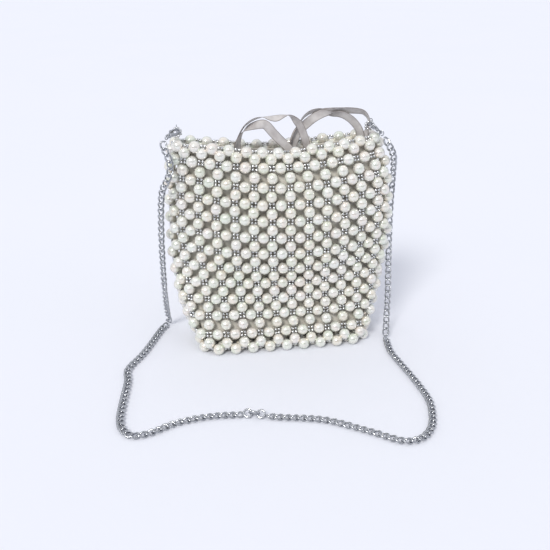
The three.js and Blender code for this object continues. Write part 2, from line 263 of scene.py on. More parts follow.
@dataclass(frozen=True)
class Finish:
    """A surface finish. Each kind fills in its own nodes."""

    name: str

    def material(self) -> bpy.types.Material:
        """The finish as a material, made once and used again after that."""
        found = bpy.data.materials.get(self.name)
        if found is not None:
            return found
        made = bpy.data.materials.new(self.name)
        made.use_nodes = True
        tree = made.node_tree
        tree.nodes.clear()
        shader = add_node(tree, "ShaderNodeBsdfPrincipled")
        self.dress(tree, shader)
        add_node(tree, "ShaderNodeOutputMaterial", {"Surface": shader.outputs[0]})
        return made

    def dress(self, tree: bpy.types.NodeTree, shader: bpy.types.Node) -> None:
        """Sets the shader's values and links its colour, roughness and bump."""
        raise NotImplementedError

    def on(self, piece: bpy.types.Object) -> None:
        """Gives the finish to a piece, in place of what it had."""
        if piece.data.materials:
            for index in range(len(piece.data.materials)):
                piece.data.materials[index] = self.material()
        else:
            piece.data.materials.append(self.material())


def grain(tree: bpy.types.NodeTree, size_mm: float, detail: float = 3.0,
          coordinates: bpy.types.NodeSocket | None = None) -> bpy.types.NodeSocket:
    """Noise whose grains are a real size.

    Args:
        tree: Node tree.
        size_mm: Width of one grain, in millimetres.
        detail: Octaves of finer noise.
        coordinates: Socket to read, or None for object coordinates.

    Returns:
        The noise as a value around 0.5.
    """
    if coordinates is None:
        coordinates = add_node(tree, "ShaderNodeTexCoord").outputs["Object"]
    found = add_node(tree, "ShaderNodeTexNoise", {
        "Vector": coordinates, "Scale": 1 / (size_mm * MM), "Detail": detail})
    return found.outputs["Fac"]


def bump(tree: bpy.types.NodeTree, height: bpy.types.NodeSocket, depth_mm: float,
         strength: float = 1.0) -> bpy.types.NodeSocket:
    """Normals from a height between 0 and 1 that stands for a depth in millimetres."""
    node = add_node(tree, "ShaderNodeBump", {
        "Height": height, "Distance": depth_mm * MM, "Strength": strength})
    return node.outputs["Normal"]


@dataclass(frozen=True)
class PearlLacquer(Finish):
    """Glass beads dipped in pearl essence: a milky ivory body under a clear, slightly uneven gloss."""

    pale: str = "F0F0EC"
    ivory: str = "ECEADF"
    rose: str = "EEEAE6"
    mint: str = "E9ECE2"

    def dress(self, tree: bpy.types.NodeTree, shader: bpy.types.Node) -> None:
        """Each bead has its own tint, and faint clouds of rose and green drift through the coat."""
        tone = add_node(tree, "ShaderNodeAttribute", attribute_name="tone").outputs["Fac"]
        body = add_node(tree, "ShaderNodeValToRGB", {"Fac": tone})
        set_stops(body.color_ramp, [(0.0, linear(self.pale)), (0.45, linear(self.ivory)),
                                    (0.75, linear(self.rose)), (1.0, linear(self.mint))])
        clouds = grain(tree, 6.0, 1.0)
        tint = add_node(tree, "ShaderNodeValToRGB", {"Fac": clouds})
        set_stops(tint.color_ramp, [(0.35, linear("FFF8F3")), (0.5, linear("FFFFFF")),
                                    (0.65, linear("F2F8F0"))])
        mixed = add_node(tree, "ShaderNodeMix", {0: 0.8, 6: body.outputs[0], 7: tint.outputs[0]},
                         data_type="RGBA", blend_type="MULTIPLY")
        tree.links.new(mixed.outputs[2], shader.inputs["Base Color"])
        skin = grain(tree, 0.9, 2.0)
        rough = add_node(tree, "ShaderNodeMapRange", {0: skin, 3: 0.1, 4: 0.2})
        tree.links.new(rough.outputs[0], shader.inputs["Roughness"])
        tree.links.new(bump(tree, skin, 0.03, 0.5), shader.inputs["Normal"])
        shader.inputs["IOR"].default_value = 1.56
        shader.inputs["Specular IOR Level"].default_value = 0.62
        shader.inputs["Metallic"].default_value = 0.35
        shader.inputs["Coat Weight"].default_value = 0.8
        shader.inputs["Coat Roughness"].default_value = 0.04


@dataclass(frozen=True)
class Metal(Finish):
    """Plated or polished metal: bright, with hairline scratches and duller patches from handling."""

    colour: str = "C8CACD"
    dull: str = "9EA1A6"
    roughness: tuple[float, float] = (0.14, 0.32)
    grain_mm: float = 1.2
    depth_mm: float = 0.02
    own_tone: bool = False

    def dress(self, tree: bpy.types.NodeTree, shader: bpy.types.Node) -> None:
        """Mixes the bright and the dull tone by a fine grain, and by each bead's own shade."""
        marks = grain(tree, self.grain_mm, 4.0)
        share = marks
        if self.own_tone:
            tone = add_node(tree, "ShaderNodeAttribute", attribute_name="tone").outputs["Fac"]
            share = add_node(tree, "ShaderNodeMath", {0: tone, 1: marks},
                             operation="MULTIPLY").outputs[0]
        colour = add_node(tree, "ShaderNodeMix", {
            0: share, 6: linear(self.colour), 7: linear(self.dull)}, data_type="RGBA")
        rough = add_node(tree, "ShaderNodeMapRange", {
            0: marks, 3: self.roughness[0], 4: self.roughness[1]})
        tree.links.new(colour.outputs[2], shader.inputs["Base Color"])
        tree.links.new(rough.outputs[0], shader.inputs["Roughness"])
        tree.links.new(bump(tree, marks, self.depth_mm, 0.4), shader.inputs["Normal"])
        shader.inputs["Metallic"].default_value = 1.0


@dataclass(frozen=True)
class Satin(Finish):
    """Polyester satin: long floating threads give it a soft sheen along the cloth, dull across it.

    The real floats are about 0.12 mm apart, too fine to show, so they are drawn at float_mm.
    """

    # face is the cloth's lit colour and shade its shaded colour: painted light and shade, mixed in
    # broad patches.
    face: str = "B9B0AA"
    shade: str = "978D87"
    float_mm: float = 0.45
    crush_mm: float = 9.0
    selvedge: bool = False

    def dress(self, tree: bpy.types.NodeTree, shader: bpy.types.Node) -> None:
        """Floats run along U of the piece's own map, which is laid out in metres."""
        uv = add_node(tree, "ShaderNodeUVMap", uv_map="cloth").outputs["UV"]
        split = add_node(tree, "ShaderNodeSeparateXYZ", {0: uv})
        across = add_node(tree, "ShaderNodeMath", {
            0: split.outputs["Y"], 1: 2 * math.pi / (self.float_mm * MM)}, operation="MULTIPLY")
        threads = add_node(tree, "ShaderNodeMath", {0: across.outputs[0]}, operation="SINE")
        stretched = add_node(tree, "ShaderNodeVectorMath", {0: uv, 1: (0.12, 1.0, 1.0)},
                             operation="MULTIPLY")
        slubs = grain(tree, self.float_mm * 2, 2.0, stretched.outputs[0])
        weave = add_node(tree, "ShaderNodeMath", {0: threads.outputs[0], 1: 0.25, 2: slubs},
                         operation="MULTIPLY_ADD")
        # Painted sheen and shade: a coarse noise mixes the lit face colour and the shaded shade colour
        # in broad patches, standing in for crushed satin catching the light.
        sheen_and_shade = grain(tree, self.crush_mm, 2.0)
        share = add_node(tree, "ShaderNodeMapRange", {0: sheen_and_shade, 1: 0.3, 2: 0.7})
        colour = add_node(tree, "ShaderNodeMix", {
            0: share.outputs[0], 6: linear(self.face), 7: linear(self.shade)}, data_type="RGBA")
        result = colour.outputs[2]
        # Darker towards both long edges: the colour blends to 877E79 over the outer part of the
        # ribbon's width.
        if self.selvedge:
            edge = add_node(tree, "ShaderNodeAttribute", attribute_name="edge").outputs["Fac"]
            edge_share = add_node(tree, "ShaderNodeMapRange", {0: edge, 1: 0.8, 2: 0.97})
            result = add_node(tree, "ShaderNodeMix", {
                0: edge_share.outputs[0], 6: result, 7: linear("877E79")},
                data_type="RGBA").outputs[2]
        rough = add_node(tree, "ShaderNodeMapRange", {0: slubs, 3: 0.34, 4: 0.52})
        tree.links.new(result, shader.inputs["Base Color"])
        tree.links.new(rough.outputs[0], shader.inputs["Roughness"])
        tree.links.new(bump(tree, weave.outputs[0], 0.06, 0.6), shader.inputs["Normal"])
        shader.inputs["Sheen Weight"].default_value = 0.35
        shader.inputs["Sheen Roughness"].default_value = 0.35
        shader.inputs["Anisotropic"].default_value = 0.5


@dataclass(frozen=True)
class Nylon(Finish):
    """Clear beading thread: pale and slightly glossy, with a faint twist to it."""

    colour: str = "E3E2DE"

    def dress(self, tree: bpy.types.NodeTree, shader: bpy.types.Node) -> None:
        """A fine grain stands for the twist."""
        twist = grain(tree, 0.5, 1.0)
        colour = add_node(tree, "ShaderNodeMix", {
            0: twist, 6: linear(self.colour), 7: linear("B9B8B4")}, data_type="RGBA")
        tree.links.new(colour.outputs[2], shader.inputs["Base Color"])
        tree.links.new(bump(tree, twist, 0.05, 0.5), shader.inputs["Normal"])
        shader.inputs["Roughness"].default_value = 0.3


@dataclass(frozen=True)
class PaleGround(Finish):
    """Matt white table top, a little cool."""

    colour: str = "E8E9F1"

    def dress(self, tree: bpy.types.NodeTree, shader: bpy.types.Node) -> None:
        """Nearly plain, with a trace of unevenness."""
        patches = grain(tree, 300.0, 1.0)
        colour = add_node(tree, "ShaderNodeMix", {
            0: patches, 6: linear(self.colour), 7: linear("E6E8EF")}, data_type="RGBA")
        tree.links.new(colour.outputs[2], shader.inputs["Base Color"])
        shader.inputs["Roughness"].default_value = 0.9
        shader.inputs["Specular IOR Level"].default_value = 0.1


PEARL = PearlLacquer("pearl_lacquer_on_glass")
SEED_SILVER = Metal("silver_lined_seed_bead", colour="F3F3F4", dull="A5A8AC",
                    roughness=(0.1, 0.22), grain_mm=1.5, own_tone=True)
CHAIN_STEEL = Metal("polished_plated_chain", colour="DFE0E3", dull="868A90",
                    roughness=(0.1, 0.26))
CAST_ALLOY = Metal("plated_cast_alloy", colour="BFC1C5", dull="85888E", roughness=(0.16, 0.36),
                   grain_mm=0.8, depth_mm=0.04)
LINING_SATIN = Satin("lining_satin", face="E3DFD6", shade="C6C0B5")
RIBBON_SATIN = Satin("ribbon_satin", face="D2CECC", shade="B2ACAA", float_mm=0.4, selvedge=True)
THREAD = Nylon("nylon_beading_thread")
GROUND = PaleGround("pale_table_top")


# ---------------------------------------------------------------- the bag's form

@dataclass(frozen=True)
class BagForm:
    """Middle surface of the woven net. Each profile has a value for every second row, base to rim."""

    bead: float = 10.0
    columns_wide: int = 9
    columns_deep: int = 4
    rows: int = 12
    foot: float = 5.0
    half_width: tuple[float, ...] = (80.5, 93.5, 100.5, 104, 104, 101.5, 95.5)
    front_depth: tuple[float, ...] = (35, 24, 22, 29, 30, 26, 14)
    back_depth: tuple[float, ...] = (35, 26, 28, 33, 33, 28, 20)
    roundness: tuple[float, ...] = (8, 4, 2.3, 1.75, 1.75, 1.9, 2.6)
    centre_shift: tuple[float, ...] = (1.5, 1, 0, 0, 0, -0.5, -3)
    height: tuple[float, ...] = (5, 36, 69, 102.5, 136, 169, 200)
    section_turn: tuple[float, ...] = (0, -0.5, -2, -5, -6.5, -5, 0)
    front_dip: float = 0.045
    back_dip: float = 0.045
    slack: float = 0.9

    @property
    def around(self) -> int:
        """Columns all the way round."""
        return 2 * (self.columns_wide + self.columns_deep)

    def profile(self, values: Sequence[float], row: float) -> float:
        """Smooth value of a profile at a row."""
        place = min(max(row / 2, 0), len(values) - 1)
        index = min(int(place), len(values) - 2)
        t = place - index
        before, low = values[max(index - 1, 0)], values[index]
        high, after = values[index + 1], values[min(index + 2, len(values) - 1)]
        t2, t3 = t * t, t * t * t
        return (low * (2 * t3 - 3 * t2 + 1) + (high - before) / 2 * (t3 - 2 * t2 + t)
                + high * (3 * t2 - 2 * t3) + (after - low) / 2 * (t3 - t2))

    @functools.lru_cache(maxsize=None)
    def half_section(self, row: float, front: bool) -> tuple[np.ndarray, np.ndarray]:
        """Outline of the front or back half at a row, left to right, with its running length."""
        angle = np.pi * (1 - np.linspace(0, 1, 241))
        power = 2 / self.profile(self.roundness, row)
        cos, sin = np.cos(angle), np.maximum(np.sin(angle), 0)
        depth = self.profile(self.front_depth if front else self.back_depth, row)
        x = np.sign(cos) * self.profile(self.half_width, row) * np.abs(cos) ** power
        y = (-1 if front else 1) * depth * sin ** power
        outline = np.stack([x, y], axis=1)
        steps = np.linalg.norm(np.diff(outline, axis=0), axis=1)
        return outline, np.concatenate([[0], np.cumsum(steps)])

    def point(self, column: float, row: float) -> Vector:
        """Middle of the net at a column and row, in metres. Column 0 is the front left corner."""
        half = self.around / 2
        along = (column + self.columns_deep / 2) % self.around
        front = along <= half
        share = along / half if front else 2 - along / half
        outline, run = self.half_section(round(row, 4), front)
        x = np.interp(share * run[-1], run, outline[:, 0])
        y = np.interp(share * run[-1], run, outline[:, 1])
        dip = (self.front_dip if front else self.back_dip) * math.sin(math.pi * share) ** 2
        z = self.foot + (self.profile(self.height, row) - self.foot) * (1 - dip)
        turn = Matrix.Rotation(math.radians(self.profile(self.section_turn, row)), 3, "Z")
        return turn @ Vector((x + self.profile(self.centre_shift, row), y, z)) * MM

    def outward(self, column: float, row: float) -> Vector:
        """Level direction straight out of the net."""
        along = self.point(column + 0.25, row) - self.point(column - 0.25, row)
        return Vector((along.y, -along.x, 0)).normalized()

    def draped(self, column: float, row: float) -> Vector:
        """Point of the net with the small unevenness of hand weaving, none at the foot."""
        share = min(max(row, 0) / 3, 1)
        seed = Vector((math.cos(2 * math.pi * column / self.around) * 3.1,
                       math.sin(2 * math.pi * column / self.around) * 3.1, row * 0.62))
        drift = noise.noise_vector(seed) * self.slack * (0.6 + 0.6 * row / self.rows) * share
        return self.point(column, row) + drift * MM

    def along_row(self, column: float, row: float) -> Vector:
        """Direction of growing columns."""
        return (self.draped(column + 0.3, row) - self.draped(column - 0.3, row)).normalized()

    def up_row(self, column: float, row: float) -> Vector:
        """Direction of growing rows."""
        low, high = max(row - 0.3, 0), min(row + 0.3, self.rows)
        return (self.draped(column, high) - self.draped(column, low)).normalized()

    def base_point(self, across: float, deep: float) -> Vector:
        """Point of the base, from the front left corner, between the four lowest rows of the walls."""
        wide, depth = self.columns_wide, self.columns_deep
        u, v = across / wide, deep / depth
        front, back = self.point(across, 0), self.point(2 * wide + depth - across, 0)
        left, right = self.point(-deep, 0), self.point(wide + deep, 0)
        corners = [self.point(c, 0) for c in (0, wide, self.around - depth, wide + depth)]
        flat = (corners[0] * (1 - u) * (1 - v) + corners[1] * u * (1 - v)
                + corners[2] * (1 - u) * v + corners[3] * u * v)
        return front * (1 - v) + back * v + left * (1 - u) + right * u - flat


class Panel(Enum):
    """The net's panels. Each wall has its first and last column."""

    FRONT = ("front", 0, 9)
    RIGHT_SIDE = ("right_side", 9, 13)
    BACK = ("back", 13, 22)
    LEFT_SIDE = ("left_side", 22, 26)
    BASE = ("base", 0, 0)

    @property
    def label(self) -> str:
        """Name of the panel in piece names."""
        return self.value[0]

    @property
    def columns(self) -> range:
        """Columns that start in this wall."""
        return range(self.value[1], self.value[2])


@dataclass
class Knot:
    """A crossing of the weave: its middle and the four ways out to the neighbouring pearls."""

    centre: Vector
    ways: tuple[Vector, Vector, Vector, Vector]
    reach: float


@dataclass
class PearlNet:
    """Right angle weave of large pearls on the cell edges, with four seed beads at each crossing."""

    form: BagForm
    pearl: float = 11.2
    pearl_bore: float = 0.65
    seed: float = 2.9
    seed_length: float = 2.3
    seed_bore: float = 0.45
    seed_reach: float = 0.098
    thread: float = 0.36
    jitter: float = 0.22
    pieces: list[bpy.types.Object] = field(default_factory=list)

    def pearl_shape(self) -> bpy.types.Mesh:
        """A drilled round bead, its bore along Z."""
        radius = self.pearl / 2
        start = math.asin(self.pearl_bore / radius)
        turns = [start + (math.pi - 2 * start) * i / 6 for i in range(7)]
        return lathe([(radius * math.sin(a), radius * math.cos(a)) for a in turns], 12, "pearl")

    def seed_shape(self) -> bpy.types.Mesh:
        """A short rounded ring of glass, its bore along Z."""
        r, h, b = self.seed / 2, self.seed_length / 2, self.seed_bore
        outline = [(b, h * 0.82), (r * 0.62, h), (r, h * 0.42), (r, -h * 0.42),
                   (r * 0.62, -h), (b, -h * 0.82)]
        return lathe(outline, 8, "seed")

    def wall_pearls(self, panel: Panel, dice: random.Random) -> list[Place]:
        """Places of a wall's pearls: the lying ones along each row, then the standing ones."""
        form, places = self.form, []
        for column in panel.columns:
            for row in range(form.rows + 1):
                centre = form.draped(column + 0.5, row)
                places.append(self.bead_place(centre, form.along_row(column + 0.5, row), dice,
                                              row > 0))
            for row in range(form.rows):
                centre = form.draped(column, row + 0.5)
                places.append(self.bead_place(centre, form.up_row(column, row + 0.5), dice, True))
        return places

    def base_pearls(self, dice: random.Random) -> list[Place]:
        """Places of the pearls inside the base; its edge pearls belong to the walls."""
        form, places = self.form, []
        wide, deep = form.columns_wide, form.columns_deep
        for b in range(1, deep):
            for a in range(wide):
                places.append(self.bead_place(form.base_point(a + 0.5, b), Vector((1, 0, 0)),
                                              dice, False))
        for a in range(1, wide):
            for b in range(deep):
                places.append(self.bead_place(form.base_point(a, b + 0.5), Vector((0, 1, 0)),
                                              dice, False))
        return places

    def bead_place(self, centre: Vector, bore: Vector, dice: random.Random,
                   free: bool) -> Place:
        """A pearl on its thread, nudged and tilted a little where it is free to move."""
        nudge = Vector([dice.uniform(-1, 1) for _ in range(3)]) * self.jitter * MM
        tilt = Vector([dice.uniform(-1, 1) for _ in range(3)]) * 0.07
        roll, tone = dice.uniform(0, 6.28), dice.random()
        middle = centre + nudge if free else centre
        return Place(facing((bore + tilt).normalized(), middle, roll), tone)

    def wall_knots(self, panel: Panel) -> list[Knot]:
        """Crossings of a wall."""
        form, knots = self.form, []
        for column in panel.columns:
            for row in range(form.rows + 1):
                middle = form.draped(column, row)
                side, up = form.along_row(column, row), form.up_row(column, row)
                down = -up if row else -form.outward(column, row)
                spacing = (form.point(column + 0.5, row) - form.point(column - 0.5, row)).length
                knots.append(Knot(middle, (side, up, -side, down), spacing))
        return knots

    def base_knots(self) -> list[Knot]:
        """Crossings inside the base."""
        form = self.form
        x, y = Vector((1, 0, 0)), Vector((0, 1, 0))
        return [Knot(form.base_point(a, b), (x, y, -x, -y),
                     (form.base_point(a + 0.5, b) - form.base_point(a - 0.5, b)).length)
                for a in range(1, form.columns_wide) for b in range(1, form.columns_deep)]

    def seed_places(self, knots: Iterable[Knot], dice: random.Random) -> list[Place]:
        """Four seed beads round each crossing, each lying on the slant between two pearls."""
        places = []
        for knot in knots:
            for first, second in zip(knot.ways, knot.ways[1:] + knot.ways[:1]):
                middle = knot.centre + (first + second) * knot.reach * self.seed_reach
                nudge = Vector([dice.uniform(-1, 1) for _ in range(3)]) * 0.12 * MM
                tilt = Vector([dice.uniform(-1, 1) for _ in range(3)]) * 0.18
                bore = (first - second).normalized() + tilt
                places.append(Place(facing(bore.normalized(), middle + nudge,
                                           dice.uniform(0, 6.28)), dice.random()))
        return places

    def thread_piece(self, name: str, knots: Iterable[Knot]) -> bpy.types.Object:
        """The thread that shows between pearls and seeds, as one mesh of short bent lengths."""
        curve = bpy.data.curves.new(name, "CURVE")
        curve.dimensions = "3D"
        curve.bevel_depth = self.thread / 2 * MM
        curve.bevel_resolution = 0
        curve.use_fill_caps = True
        for knot in knots:
            end = knot.reach / 2 - self.pearl / 2 * MM + 0.5 * MM
            for first, second in zip(knot.ways, knot.ways[1:] + knot.ways[:1]):
                middle = knot.centre + (first + second) * knot.reach * self.seed_reach
                spline = curve.splines.new("POLY")
                spline.points.add(2)
                stops = (knot.centre + first * end, middle, knot.centre + second * end)
                for point, stop in zip(spline.points, stops):
                    point.co = (*stop, 1)
        return baked(new_object(name, curve))

    def build(self) -> None:
        """Makes the pearls, seeds and thread of every panel."""
        pearl, seed = self.pearl_shape(), self.seed_shape()
        dice = random.Random(41)
        for panel in Panel:
            wall = panel is not Panel.BASE
            pearls = self.wall_pearls(panel, dice) if wall else self.base_pearls(dice)
            knots = self.wall_knots(panel) if wall else self.base_knots()
            strung = strewn(f"pearls_{panel.label}", pearl, pearls)
            seeds = strewn(f"seeds_{panel.label}", seed, self.seed_places(knots, dice))
            thread = self.thread_piece(f"thread_{panel.label}", knots)
            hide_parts(f"net_{panel.label}")
            self.dress(strung, seeds, thread)

    def dress(self, pearls: bpy.types.Object, seeds: bpy.types.Object,
              thread: bpy.types.Object) -> None:
        """Finishes and body of one panel's pieces."""
        for piece, finish, slot in ((pearls, PEARL, "pearl"), (seeds, SEED_SILVER, "silver_bead"),
                                    (thread, THREAD, "pearl")):
            finish.on(piece)
            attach(piece, "bag")
            self.pieces.append(piece)
            LOG.info("%s: %d faces", piece.name, len(piece.data.polygons))


# ---------------------------------------------------------------- lining, casing, ribbons

def cloth_grid(across: int, up: int, place: Callable[[float, float], Vector],
               size: tuple[float, float], edges: bool = False) -> bmesh.types.BMesh:
    """A grid of cloth laid out by a rule, with its flat map kept in metres.

    Args:
        across: Faces along the first direction.
        up: Faces along the second direction.
        place: Turns two shares from 0 to 1 into a point, in metres.
        size: Flat width and height that the map spans, in metres.
        edges: Whether to keep how near each point is to a side edge.

    Returns:
        The cloth as a bmesh.
    """
    bm = bmesh.new()
    map_layer = bm.loops.layers.uv.new("cloth")
    bmesh.ops.create_grid(bm, x_segments=across, y_segments=up, size=0.5)
    edge_layer = bm.verts.layers.float.new("edge") if edges else None
    for face in bm.faces:
        for loop in face.loops:
            share = loop.vert.co
            loop[map_layer].uv = ((share.x + 0.5) * size[0], (share.y + 0.5) * size[1])
    for vert in bm.verts:
        if edge_layer is not None:
            vert[edge_layer] = abs(vert.co.y) * 2
        vert.co = place(vert.co.x + 0.5, vert.co.y + 0.5)
    return bm


def thickened(piece: bpy.types.Object, thickness_mm: float) -> bpy.types.Object:
    """Gives a sheet its thickness, half to each side."""
    shell = piece.modifiers.new("thickness", "SOLIDIFY")
    shell.thickness = thickness_mm * MM
    shell.offset = 0
    return baked(piece)


@dataclass
class LiningPouch:
    """Satin pouch sewn inside the net, with soft upright folds and a boxed bottom."""

    form: BagForm
    gap: float = 6.0
    fold: float = 1.7
    floor: float = 11.0
    top_row: float = 11.6
    rise: float = 1.0
    thickness: float = 0.6
    flat: tuple[float, float] = (0.43, 0.235)

    def inward(self, column: float, row: float) -> float:
        """How far the cloth stands in from the net's middle, in millimetres."""
        turn = 2 * math.pi * column / self.form.around
        place = Vector((math.cos(turn) * 4.6, math.sin(turn) * 4.6, row * 0.22))
        creases = Vector((math.cos(turn) * 9.0, math.sin(turn) * 9.0, row * 0.5 + 7))
        wave = 0.5 + 0.5 * noise.noise(place) + 0.22 * noise.noise(creases)
        held = min((self.form.rows + 0.2 - row) / 2.2, 1)
        return self.gap + self.fold * min(max(wave, 0), 1.2) * (0.25 + 0.75 * max(held, 0))

    def wall_point(self, column: float, row: float, lift: float = 0.0) -> Vector:
        """Point of the pouch's wall, in metres."""
        inward = self.form.outward(column, row) * self.inward(column, row) * MM
        return self.form.point(column, row) - inward + Vector((0, 0, lift * MM))

    def place(self, around: float, up: float) -> Vector:
        """Point of the pouch from two shares: around it, and from the bottom's middle to the mouth."""
        column, bottom = around * self.form.around, 0.14
        low_row = 0.42
        if up < bottom:
            edge = self.wall_point(column, low_row)
            share = up / bottom
            centre = Vector((1 * MM, 0, self.floor * MM))
            corner = min(max((share - 0.8) / 0.2, 0), 1) ** 3
            flat = centre.lerp(edge, share)
            flat.z = (self.floor * (1 - corner)) * MM + edge.z * corner
            return flat
        if up > 0.985:
            return self.wall_point(column, self.top_row, (up - 0.985) / 0.015 * self.rise)
        row = low_row + (up - bottom) / (0.985 - bottom) * (self.top_row - low_row)
        return self.wall_point(column, row)

    def build(self) -> bpy.types.Object:
        """Makes and dresses the pouch."""
        bm = cloth_grid(208, 70, self.place, self.flat)
        bmesh.ops.remove_doubles(bm, verts=bm.verts, dist=0.02 * MM)
        bmesh.ops.recalc_face_normals(bm, faces=bm.faces)
        pouch = thickened(new_object("lining_pouch_satin", to_mesh(bm, "lining")),
                          self.thickness)
        LINING_SATIN.on(pouch)
        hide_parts("lining_pouch")
        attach(pouch, "bag")
        LOG.info("%s: %d faces", pouch.name, len(pouch.data.polygons))
        return pouch


@dataclass
class DrawstringCasing:
    """Sewn channel at the mouth that the ribbons run in, lightly gathered, with stitching below."""

    form: BagForm
    gap: float = 8.1
    low_row: float = 10.9
    top_row: float = 11.6
    rise: float = 2.0
    ruffle: float = 0.55
    thickness: float = 1.1
    stitch_length: float = 2.5
    stitch_thick: float = 0.4
    stitch_pitch: float = 3.6
    flat: tuple[float, float] = (0.37, 0.018)

    def point(self, column: float, up: float, extra: float = 0.0) -> Vector:
        """Point of the channel's middle, from its low seam to its top fold."""
        turn = 2 * math.pi * column / self.form.around
        gather = noise.noise(Vector((math.cos(turn) * 13, math.sin(turn) * 13, up * 0.8)))
        puff = math.sin(math.pi * min(up, 1)) * 0.35
        inward = self.gap + extra + self.ruffle * gather * (0.3 + 0.7 * up) - puff
        row = self.low_row + (self.top_row - self.low_row) * min(up / 0.75, 1)
        lift = self.rise * max(up - 0.75, 0) / 0.25
        level = self.form.point(column, row) - self.form.outward(column, row) * inward * MM
        return level + Vector((0, 0, lift + 0.5 * gather * up)) * MM

    def stitches(self) -> bpy.types.Object:
        """A row of running stitches along the low seam."""
        half, thick = self.stitch_length / 2, self.stitch_thick / 2
        shape = lathe([(0.01, half), (thick * 0.8, half * 0.8), (thick, 0),
                       (thick * 0.8, -half * 0.8), (0.01, -half)], 6, "stitch")
        dice = random.Random(7)
        count = int(self.flat[0] / (self.stitch_pitch * MM))
        places = []
        for index in range(count):
            column = index / count * self.form.around
            centre = self.point(column, 0.12, self.thickness / 2 + 0.05)
            along = self.point(column + 0.1, 0.12) - self.point(column - 0.1, 0.12)
            places.append(Place(facing(along.normalized(), centre, 0), dice.random()))
        piece = strewn("casing_stitches", shape, places)
        THREAD.on(piece)
        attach(piece, "bag")
        return piece

    def build(self) -> bpy.types.Object:
        """Makes and dresses the channel and its stitching."""
        place = lambda around, up: self.point(around * self.form.around, up)
        bm = cloth_grid(312, 8, place, self.flat)
        bmesh.ops.remove_doubles(bm, verts=bm.verts, dist=0.02 * MM)
        bmesh.ops.recalc_face_normals(bm, faces=bm.faces)
        channel = thickened(new_object("drawstring_channel", to_mesh(bm, "channel")),
                            self.thickness)
        LINING_SATIN.on(channel)
        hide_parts("drawstring_casing")
        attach(channel, "bag")
        self.stitches()
        LOG.info("%s: %d faces", channel.name, len(channel.data.polygons))
        return channel


# Ribbon turns are measured from this direction, ahead of the bag and above it.
AHEAD = Vector((-0.154, -0.907, 0.393)).normalized()


@dataclass(frozen=True)
class RibbonRoute:
    """One strand of ribbon: points in millimetres, each with the turn of its face in degrees."""

    name: str
    body: str
    node: str
    stops: tuple[tuple[float, float, float, float], ...]


RIBBONS = (
    RibbonRoute("ribbon_pull_left_front", "ribbons_left", "ribbon_left_inner", (
        (-41.5, -4.4, 178, 45), (-41, -4.4, 189, 45), (-40.5, -4.3, 194.8, 45),
        (-39, -4.2, 201.7, 65), (-35, -4, 209.2, 95), (-28.4, -3.8, 213.5, 140),
        (-18.6, -3.6, 215.9, 172), (-13.3, -3.8, 214.8, 195), (-7.7, -4, 208.6, 186),
        (-1.6, -4.2, 202, 180), (4.6, -4.3, 196, 178), (9.8, -4.5, 190.8, 175),
        (14, -4.6, 188, 172), (16, -4.6, 178, 170))),
    RibbonRoute("ribbon_pull_left_back", "ribbons_left", "ribbon_left_outer", (
        (-44, -4.4, 178, 70), (-43, -4.4, 189, 75), (-41.9, -4.3, 194.8, 80),
        (-38.8, -4, 205.1, 86), (-33.6, -3.5, 214.4, 90), (-24.9, -1, 219.8, 92),
        (-16.3, 1, 221.2, 100), (-9.9, 1, 220.4, 125), (-3.2, 0, 220.2, 145),
        (3.3, -1, 222.1, 122), (9, -2, 222.8, 92), (14.6, -3.5, 218, 52), (18.9, -3.8, 212, 40),
        (22.4, -4, 202.6, 36), (25.3, -4.3, 193.2, 36), (27.5, -4.5, 191.9, 38),
        (29.5, -4.6, 185, 40), (31, -4.6, 176, 40))),
    RibbonRoute("ribbon_pull_right_front", "ribbons_right", "ribbon_right_outer", (
        (9, 7.8, 177, 15), (11, 7.8, 187, 12), (14, 7.8, 193.6, 10), (18.3, 7.6, 204.8, 6),
        (26.2, 7.3, 212.3, 10), (33.7, 6, 218.4, 8), (41.4, 5, 222.4, 22), (48.3, 4, 224.2, 52),
        (56.3, 4, 225.2, 74), (66.4, 3, 224.5, 62), (73.5, 2, 224, 64), (79.2, 1, 222.6, 74),
        (82.9, 0, 218.7, 84), (84.4, 0, 213.6, 88), (83.4, 0, 207.1, 70), (81, 0, 200.5, 40),
        (79.5, 0, 192, 20), (78.5, 0, 183, 10))),
    RibbonRoute("ribbon_pull_right_back", "ribbons_right", "ribbon_right_inner", (
        (7, 7.9, 177, 80), (10, 7.9, 187, 82), (14, 7.9, 201.2, 84), (21.4, 7.7, 215.6, 86),
        (25.9, 7.6, 220.8, 84), (31.5, 7.5, 223.8, 78), (39.4, 7.4, 224.4, 72), (50.2, 6, 221.4, 70),
        (56.4, 4.5, 221.4, 58), (62.1, 3, 219.8, 50), (68, 2, 216, 46), (73, 1, 210.6, 44),
        (76, 0, 205.2, 42), (76.8, 0, 199, 35), (76, 0, 191, 25), (75, 0, 183, 15))),
)


